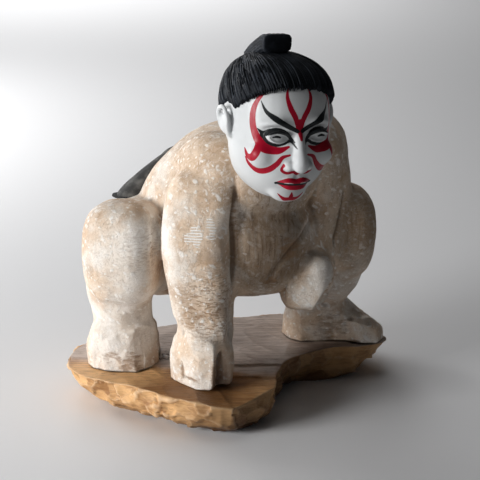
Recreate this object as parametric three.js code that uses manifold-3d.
// A carved wooden sumo wrestler, crouching on a hewn slab plinth with one fist planted.
// Millimetres, +Z up. The wrestler faces -Y and its own right is -X. The origin is under the
// middle of the common box of plinth and figure, on the surface that the plinth stands on.
import * as THREE from "three";
import { mergeVertices } from "three/addons/utils/BufferGeometryUtils.js";
import Module from "manifold-3d";

const wasm = await Module();
wasm.setup();

// Driving dimensions
const PLINTH_TOP = 34; // height of the slab's top face
const PLINTH_RIM = 9; // the upright band below the slab's top edge
const PLINTH_UNDERCUT = { front: 25, lobe: 40 }; // how far the hewn side runs in below
const PLINTH_GOUGE = { depth: 1.1, turns: 2.4, lean: 9 }; // marks along the hewn side, in radians
const SOLE_GAP = 0.3; // the figure is a separate carving that stands on the slab
const SOLE = PLINTH_TOP + SOLE_GAP;
const GROUND_CUT = 60; // what hangs below the soles is sliced off this deep
const ORIGIN_SHIFT = [3.4, -57.2, 0]; // brings the common box's middle over the origin

// Posture: where the middles of the joints are, as [x, y, z].
const SPINE = {
  rump: [-14, 146, 108],
  pelvis: [-13, 120, 134],
  waist: [-10, 92, 166],
  chest: [-2, 60, 202],
  neck: [0, 26, 232],
};
const RIGHT_LEG = { hip: [-54, 122, 128], knee: [-110, 72, 147], ankle: [-106, 90, 78] };
const LEFT_LEG = { hip: [40, 122, 128], knee: [90, 46, 148], ankle: [85, 74, 76] };
const RIGHT_FOOT = { at: [-104, 92], toes: -26, instep: 20 };
const LEFT_FOOT = { at: [104, 74], toes: 63, instep: 12 };
const RIGHT_ARM = {
  shoulder: [-34, 44, 212],
  elbow: [-55, 36, 164],
  forearm: [-57, 26, 112],
  wrist: [-57, 16, 74],
  fist: [-61, 7, 54],
};
const LEFT_ARM = {
  shoulder: [57, 46, 222],
  biceps: [66, 44, 192],
  elbow: [67, 42, 162],
  wrist: [55, 30, 124],
  fist: [47, 24, 106],
};
const HEAD = { centre: [-7, -20, 258], tilt: 5, turn: -4, roll: 2 };

// Girths: half sizes of the sections, sideways and fore-and-aft.
const TRUNK_GIRTH = {
  rump: [60, 44],
  pelvis: [74, 54],
  waist: [76, 60],
  chest: [68, 54],
  neck: [46, 40],
};
const THIGH_GIRTH = { hip: [46, 44], middle: [45, 42], knee: [38, 34] };
const SHIN_GIRTH = { top: [28, 30], calf: [29, 32], ankle: [26, 28], base: [30, 30] };
const SHIN_CALF = { back: 14, height: 104, underKnee: 20 }; // how the shin leans under the knee
const FOOT = { heel: 40, arch: 10, ball: -22, tip: -44, halfWidth: 30 }; // places along the foot
const RIGHT_ARM_GIRTH = {
  shoulder: [32, 40],
  elbow: [33, 36],
  forearm: [29, 30],
  wrist: [24, 25],
  base: [26, 26],
};
const LEFT_ARM_GIRTH = {
  shoulder: [34, 38],
  biceps: [30, 34],
  elbow: [27, 30],
  wrist: [23, 23],
  hand: [22, 22],
};

// Masses: eggs laid on the limbs, with their middle, half sizes and shape.
const BELLY = { at: [-2, 54, 150], half: [64, 60, 56], pitch: 12, power: 2.2, rings: 10 };
const BREAST = { at: [2, 32, 204], half: [54, 42, 40], sides: 14, rings: 8 };
const SHOULDERS = { at: [14, 48, 218], half: [66, 38, 34], pitch: 8, power: 2.2, sides: 16, rings: 8 };
const BUTTOCK = { spread: 32, back: 140, height: 114, half: [44, 42, 42], sides: 14, rings: 8 };
const KNEECAP = { drop: 6, half: [35, 36, 47], power: 2.7, sides: 16 };
const RIGHT_SHOULDER = { at: RIGHT_ARM.shoulder, half: [34, 40, 34], sides: 16, rings: 10 };
const LEFT_SHOULDER = { at: LEFT_ARM.shoulder, half: [37, 38, 38], sides: 16, rings: 10 };
const RIGHT_FIST = { at: RIGHT_ARM.fist, half: [28, 25, 27], turn: -14, power: 3.4, rings: 10 };
const LEFT_FIST = { at: LEFT_ARM.fist, half: [21, 24, 26], turn: -20, pitch: -12, power: 2.8, rings: 10 };
const THUMB = { offset: [18, -17], root: [17, -12], radius: 8, reach: 34 }; // beside the right fist

// The loincloth: a thick belt round the waist, the knot laid over the back above it, and
// the strip that runs from the belt down between the buttocks and forward underneath.
const BELT = { proud: 9, from: 0.2, to: 0.47 }; // shares of the trunk's length
const KNOT = { at: [-10, 126, 206], half: [50, 8, 32], pitch: 41, power: 3.2, sides: 14, rings: 8 };
const STRIP = {
  route: [[-13, 160, 178], [-14, 178, 132], [-14, 158, 80], [-12, 116, 84]],
  halfWidth: 15,
  halfThick: 9,
};

// The head in its own frame: the origin is between the ears, and it looks along -Y.
const SKULL = { halfWidth: 42, halfDepth: 47, back: 6, middle: 12, top: 58, chin: -55 };
const HAIR = { proud: 3, fringe: 45, sideburn: -6, nape: 14, slope: -25 };
const FACE = { brow: 13, eyeLine: 4, eyeSpan: 17, noseTip: -20, mouth: -33, front: -42 };
const NOSE = { root: [4.5, 4], bridge: [5.5, 6], ball: [8, 7], proud: 8 };
const LIP = { corner: 14, upper: 3.4, lower: 3.8, apart: 5.5 };
const SOCKET = { proud: 8, half: [13, 9, 8], sides: 10, rings: 6 };
const EYE = { sunk: 5.5, half: [9, 8, 6], sides: 12, rings: 8 };
const NOSTRIL = { span: 8, half: [5, 6, 4.5], sides: 8, rings: 6 };
const EAR = { back: 4, height: 2, half: [5, 9, 15], turn: 20, sides: 10, rings: 8, power: 2.4 };
const CHIN = { sunk: 9, up: 11, half: [12, 8, 8], sides: 12, rings: 8 };
const TOPKNOT = { tie: [-2, 44, 54], fold: [-4, 30, 65], fan: [-8, 14, 69], halfThick: 7 };

const deg = THREE.MathUtils.degToRad;
const SIDES = [-1, 1];

// A closed three.js geometry as a manifold solid.
function solidOf(geometry) {
  const bare = geometry.clone();
  bare.deleteAttribute("normal");
  bare.deleteAttribute("uv");
  const merged = mergeVertices(bare, 1e-4);
  return new wasm.Manifold(
    new wasm.Mesh({
      numProp: 3,
      vertProperties: merged.attributes.position.array,
      triVerts: new Uint32Array(merged.index.array),
    }),
  );
}

// A manifold solid as a three.js geometry.
function geometryOf(solid) {
  const { vertProperties, triVerts } = solid.getMesh();
  const geometry = new THREE.BufferGeometry();
  geometry.setAttribute("position", new THREE.BufferAttribute(vertProperties, 3));
  geometry.setIndex(new THREE.BufferAttribute(triVerts, 1));
  geometry.computeVertexNormals();
  return geometry;
}

// A direction from the middle, as a point on a rounder or squarer form of unit size:
// with a power of 2 the form is a sphere, and with 4 it is nearly a block.
function squared([x, y, z], power) {
  const size = (Math.abs(x) ** power + Math.abs(y) ** power + Math.abs(z) ** power) ** (1 / power);
  return [x / size, y / size, z / size];
}

const middleCurve = (stations) =>
  new THREE.CatmullRomCurve3(stations.map(([middle]) => new THREE.Vector3(...middle)));
const girthCurve = (stations) =>
  new THREE.CatmullRomCurve3(stations.map(([, [wide, deep]]) => new THREE.Vector3(wide, deep, 0)));

// A limb: a sphere drawn out along a smooth path through its stations. Each station is
// [middle, girth], where the girth holds the half sizes sideways and fore-and-aft. Both ends
// are rounded over the share endRound of the length, and power squares the section.
function limb(stations, options = {}) {
  const { sides = 16, rings = 10, endRound = 0.16, across = [1, 0, 0], power = 2 } = options;
  const path = middleCurve(stations);
  const sizes = girthCurve(stations);
  const geometry = new THREE.SphereGeometry(1, sides, rings);
  const position = geometry.attributes.position;
  for (let i = 0; i < position.count; i++) {
    const share = (1 + position.getY(i)) / 2;
    const toEnd = Math.min(share, 1 - share);
    const round = toEnd < endRound ? Math.sqrt(1 - (1 - toEnd / endRound) ** 2) : 1;
    const [x, z] = [position.getX(i), position.getZ(i)];
    const ring = Math.hypot(x, z);
    const [u, , v] = ring > 1e-6 ? squared([x / ring, 0, z / ring], power) : [0, 0, 0];
    const size = sizes.getPoint(share);
    const along = path.getTangent(share);
    const sideways = new THREE.Vector3(...across).cross(along).cross(along).negate().normalize();
    const foreAft = new THREE.Vector3().crossVectors(sideways, along).normalize();
    const point = path
      .getPoint(share)
      .addScaledVector(sideways, u * round * size.x)
      .addScaledVector(foreAft, v * round * size.y);
    position.setXYZ(i, point.x, point.y, point.z);
  }
  return geometry;
}

// An egg: a sphere with three half sizes, squared by power, then pitched and turned.
function egg({ at, half, pitch = 0, turn = 0, sides = 18, rings = 12, power = 2 }) {
  const geometry = new THREE.SphereGeometry(1, sides, rings);
  geometry.rotateX(Math.PI / 2);
  const position = geometry.attributes.position;
  for (let i = 0; i < position.count; i++) {
    const unit = [position.getX(i), position.getY(i), position.getZ(i)];
    position.setXYZ(i, ...squared(unit, power));
  }
  geometry.scale(...half);
  geometry.rotateX(deg(pitch));
  geometry.rotateZ(deg(turn));
  geometry.translate(...at);
  return geometry;
}

const join = (...geometries) =>
  geometries.map(solidOf).reduce((whole, piece) => whole.add(piece));

// The outer shell alone, without the tiny pockets that joined limbs can leave inside.
const outerShell = (solid) =>
  solid.decompose().reduce((best, shell) => (shell.volume() > best.volume() ? shell : best));

const between = (a, b, share) => a.map((value, i) => value + share * (b[i] - value));

const TRUNK = Object.keys(SPINE).map((name) => [SPINE[name], TRUNK_GIRTH[name]]);

function torso() {
  const trunk = limb(TRUNK, { sides: 22, rings: 14, endRound: 0.2 });
  const buttocks = SIDES.map((side) => {
    const { spread, back, height } = BUTTOCK;
    return egg({ ...BUTTOCK, at: [SPINE.rump[0] + side * spread, back, height] });
  });
  return join(trunk, egg(BELLY), egg(BREAST), egg(SHOULDERS), ...buttocks);
}

function loincloth() {
  const path = middleCurve(TRUNK);
  const sizes = girthCurve(TRUNK);
  const wrapped = [0, 1 / 3, 2 / 3, 1].map((step) => {
    const share = BELT.from + step * (BELT.to - BELT.from);
    const { x, y } = sizes.getPoint(share);
    return [path.getPoint(share).toArray(), [x + BELT.proud, y + BELT.proud]];
  });
  const belt = limb(wrapped, { sides: 22, rings: 6, endRound: 0.12 });
  const strip = limb(
    STRIP.route.map((middle) => [middle, [STRIP.halfWidth, STRIP.halfThick]]),
    { sides: 10, power: 3 },
  );
  return join(belt, egg(KNOT), strip);
}

// A bent leg: the thigh runs forward from the hip, and the shin stands under the knee.
function leg({ hip, knee, ankle }, { at, toes, instep }) {
  const thigh = limb(
    [
      [hip, THIGH_GIRTH.hip],
      [between(hip, knee, 0.5), THIGH_GIRTH.middle],
      [knee, THIGH_GIRTH.knee],
    ],
    { endRound: 0.25, across: [0, 0, 1], rings: 8 },
  );
  const [kneeX, kneeY, kneeZ] = knee;
  const kneecap = egg({ ...KNEECAP, at: [kneeX, kneeY, kneeZ - KNEECAP.drop], turn: toes });
  const shin = limb(
    [
      [[kneeX, kneeY, kneeZ - SHIN_CALF.underKnee], SHIN_GIRTH.top],
      [[kneeX, kneeY + SHIN_CALF.back, SHIN_CALF.height], SHIN_GIRTH.calf],
      [ankle, SHIN_GIRTH.ankle],
      [[ankle[0], ankle[1], SOLE], SHIN_GIRTH.base],
    ],
    { endRound: 0.1, power: 2.3 },
  );
  const { heel, arch, ball, tip, halfWidth } = FOOT;
  const foot = limb(
    [
      [[0, heel, SOLE + 12], [halfWidth - 3, 22]],
      [[0, arch, SOLE + 14], [halfWidth, 27]],
      [[0, ball, SOLE + instep * 0.6], [halfWidth + 2, instep * 0.6 + 8]],
      [[0, tip, SOLE + instep * 0.4], [halfWidth - 1, instep * 0.4 + 4]],
    ],
    { endRound: 0.12, power: 2.4 },
  );
  foot.rotateZ(deg(toes));
  foot.translate(...at, 0);
  return join(thigh, kneecap, shin, foot);
}

// The planted arm: a column from the shoulder down to a square fist with its thumb.
function rightArm() {
  const [fistX, fistY] = RIGHT_ARM.fist;
  const column = limb(
    [
      [RIGHT_ARM.shoulder, RIGHT_ARM_GIRTH.shoulder],
      [RIGHT_ARM.elbow, RIGHT_ARM_GIRTH.elbow],
      [RIGHT_ARM.forearm, RIGHT_ARM_GIRTH.forearm],
      [RIGHT_ARM.wrist, RIGHT_ARM_GIRTH.wrist],
      [[fistX, fistY, SOLE], RIGHT_ARM_GIRTH.base],
    ],
    { endRound: 0.12, rings: 12, power: 2.3 },
  );
  const { offset, root, radius, reach } = THUMB;
  const thumb = limb(
    [
      [[fistX + root[0], fistY + root[1], SOLE + reach], [radius - 1, radius - 1]],
      [[fistX + offset[0], fistY + offset[1], SOLE + reach / 2], [radius, radius]],
      [[fistX + offset[0], fistY + offset[1], SOLE - radius], [radius, radius]],
    ],
    { sides: 10, rings: 8 },
  );
  return join(column, egg(RIGHT_SHOULDER), egg(RIGHT_FIST), thumb);
}

// The bent arm: it lies over the left thigh, and its fist hangs between the knees.
function leftArm() {
  const bent = limb(
    [
      [LEFT_ARM.shoulder, LEFT_ARM_GIRTH.shoulder],
      [LEFT_ARM.biceps, LEFT_ARM_GIRTH.biceps],
      [LEFT_ARM.elbow, LEFT_ARM_GIRTH.elbow],
      [LEFT_ARM.wrist, LEFT_ARM_GIRTH.wrist],
      [between(LEFT_ARM.fist, LEFT_ARM.wrist, 0.4), LEFT_ARM_GIRTH.hand],
    ],
    { endRound: 0.12, rings: 12 },
  );
  return join(bent, egg(LEFT_SHOULDER), egg(LEFT_FIST));
}

// Moves a geometry from the head's own frame to where the head is.
function onHead(geometry) {
  geometry.rotateX(deg(HEAD.tilt));
  geometry.rotateY(deg(HEAD.roll));
  geometry.rotateZ(deg(HEAD.turn));
  geometry.translate(...HEAD.centre);
  return geometry;
}

// The skull's own egg, grown by proud for the hair that covers it.
function skullEgg(proud, shape) {
  const { halfWidth, halfDepth, back, middle, top } = SKULL;
  const half = [halfWidth + proud, halfDepth + proud, top - middle + proud];
  return egg({ at: [0, back, middle], half, ...shape });
}

// A lip: a thin roll that curves back from the middle to the corners of the mouth.
function lip(height, fullness) {
  const { corner } = LIP;
  const middle = [[0, FACE.front + 1, height], [fullness, fullness]];
  const ends = SIDES.map((side) => [[side * corner, FACE.front + 6, height], [1.5, 1.5]]);
  return limb([ends[0], middle, ends[1]], {
    sides: 8,
    rings: 8,
    across: [0, 0, 1],
    endRound: 0.2,
  });
}

// A calm, regular face on a broad head: sockets are cut, and the rest is laid on.
function face() {
  const { brow, eyeLine, eyeSpan, noseTip, mouth, front } = FACE;
  const { halfWidth, chin } = SKULL;
  const jaw = limb(
    [
      [[0, 0, 20], [halfWidth - 1, 43]],
      [[0, -4, -12], [halfWidth - 1.5, 41.5]],
      [[0, -8, chin], [25, 27]],
    ],
    { endRound: 0.3, sides: 20, rings: 12 },
  );
  const nose = limb(
    [
      [[0, front + 2, brow - 2], NOSE.root],
      [[0, front - NOSE.proud / 2, noseTip + 12], NOSE.bridge],
      [[0, front - NOSE.proud, noseTip], NOSE.ball],
    ],
    { sides: 10, rings: 8, endRound: 0.3 },
  );
  const both = (shape, out, y, z) =>
    SIDES.map((side) => egg({ ...shape, at: [side * out, y, z], turn: side * (shape.turn ?? 0) }));
  const sockets = both(SOCKET, eyeSpan, front - SOCKET.proud, eyeLine);
  const eyes = both(EYE, eyeSpan, front + EYE.sunk, eyeLine);
  const nostrils = both(NOSTRIL, NOSTRIL.span, front - 3, noseTip + 1);
  const ears = both(EAR, halfWidth, EAR.back, EAR.height);
  const chinPad = egg({ ...CHIN, at: [0, front + CHIN.sunk, chin + CHIN.up] });
  const lips = [lip(mouth, LIP.upper), lip(mouth - LIP.apart, LIP.lower)];
  const laidOn = [nose, chinPad, ...eyes, ...nostrils, ...lips, ...ears];
  return join(...[skullEgg(0, { power: 2.4 }), jaw].map(onHead))
    .subtract(join(...sockets.map(onHead)))
    .add(join(...laidOn.map(onHead)));
}

// The hair stands proud of the skull, with a stepped fringe over the forehead, and its
// fan-shaped topknot lies folded forward over the crown.
function hair() {
  const { proud, fringe, sideburn, nape, slope } = HAIR;
  const cap = skullEgg(proud, { sides: 22, power: 2.7 });
  const opening = egg({
    at: [0, sideburn - 50, fringe - 60],
    half: [SKULL.halfWidth, 50, 60],
    power: 2.6,
  });
  const under = new THREE.BoxGeometry(150, 150, 80);
  under.translate(0, 0, -40);
  under.rotateX(deg(slope));
  under.translate(0, 20, nape);
  const { tie, fold, fan, halfThick } = TOPKNOT;
  const tail = limb(
    [
      [tie, [10, halfThick - 1]],
      [fold, [13, halfThick]],
      [fan, [18, halfThick]],
    ],
    { sides: 14, rings: 8, power: 2.6 },
  );
  const spread = egg({ at: fan, half: [20, 9, halfThick + 1], sides: 16, rings: 8, power: 3 });
  return join(onHead(cap))
    .subtract(join(onHead(opening), onHead(under)))
    .add(join(onHead(tail), onHead(spread)));
}

// The slab: the outline at its top edge, drawn as one closed curve.
const PLINTH_OUTLINE = [
  [-61, -48], [-31, -34], [-9, -26], [3, -5], [24, 19], [48, 27], [80, 31], [108, 20], [132, 28],
  [144, 60], [138, 104], [104, 130], [50, 144], [-10, 154], [-70, 156], [-124, 144], [-152, 112],
  [-157, 72], [-143, 48], [-122, 22], [-105, -9], [-84, -36],
];
const PLINTH_MIDDLE = [0, 68];
const PLINTH_FACETS = 72;
const PLINTH_LAYERS = 4;

function plinth() {
  const [middleX, middleY] = PLINTH_MIDDLE;
  const edge = new THREE.CatmullRomCurve3(
    PLINTH_OUTLINE.map(([x, y]) => new THREE.Vector3(x - middleX, y - middleY, 0)),
    true,
  );
  const slab = new THREE.CylinderGeometry(1, 1, 1, PLINTH_FACETS, PLINTH_LAYERS);
  const position = slab.attributes.position;
  for (let i = 0; i < position.count; i++) {
    const [x, y, z] = [position.getX(i), position.getY(i) + 0.5, position.getZ(i)];
    const turn = (Math.atan2(-z, x) / (2 * Math.PI) + 1) % 1;
    const facet = Math.round(turn * PLINTH_FACETS) % PLINTH_FACETS;
    const point = edge.getPointAt(facet / PLINTH_FACETS);
    const height = PLINTH_TOP * y;
    const below = Math.max(0, 1 - height / (PLINTH_TOP - PLINTH_RIM));
    const lobe = THREE.MathUtils.smoothstep(point.x, 20, 70);
    const undercut = THREE.MathUtils.lerp(PLINTH_UNDERCUT.front, PLINTH_UNDERCUT.lobe, lobe);
    const { depth, turns, lean } = PLINTH_GOUGE;
    const gouge = below > 0 ? depth * (1 + Math.sin(facet * turns + below * lean)) : 0;
    const inset = undercut * (1 - Math.sqrt(Math.max(0, 1 - below ** 2))) + gouge;
    const reach = Math.hypot(x, z) < 0.5 ? 0 : 1 - inset / point.length();
    position.setXYZ(i, middleX + point.x * reach, middleY + point.y * reach, height);
  }
  return solidOf(slab);
}

function wrestler() {
  const below = new THREE.BoxGeometry(500, 500, GROUND_CUT);
  below.translate(0, 50, SOLE - GROUND_CUT / 2);
  const whole = torso()
    .add(loincloth())
    .add(leg(RIGHT_LEG, RIGHT_FOOT))
    .add(leg(LEFT_LEG, LEFT_FOOT))
    .add(rightArm())
    .add(leftArm())
    .add(face())
    .add(hair());
  return outerShell(whole.subtract(solidOf(below)));
}

const MATERIALS = {
  gessoedWood: new THREE.MeshStandardMaterial({ color: 0xd9cbb8, roughness: 0.7, metalness: 0 }),
  plainWood: new THREE.MeshStandardMaterial({ color: 0xa9713c, roughness: 0.6, metalness: 0 }),
};

function mesh(name, solid, material) {
  const made = new THREE.Mesh(geometryOf(solid), material);
  made.name = name;
  return made;
}

const figurine = new THREE.Group();
figurine.add(mesh("wrestler", wrestler(), MATERIALS.gessoedWood));
figurine.add(mesh("plinth", plinth(), MATERIALS.plainWood));
figurine.position.set(...ORIGIN_SHIFT);

export default figurine;
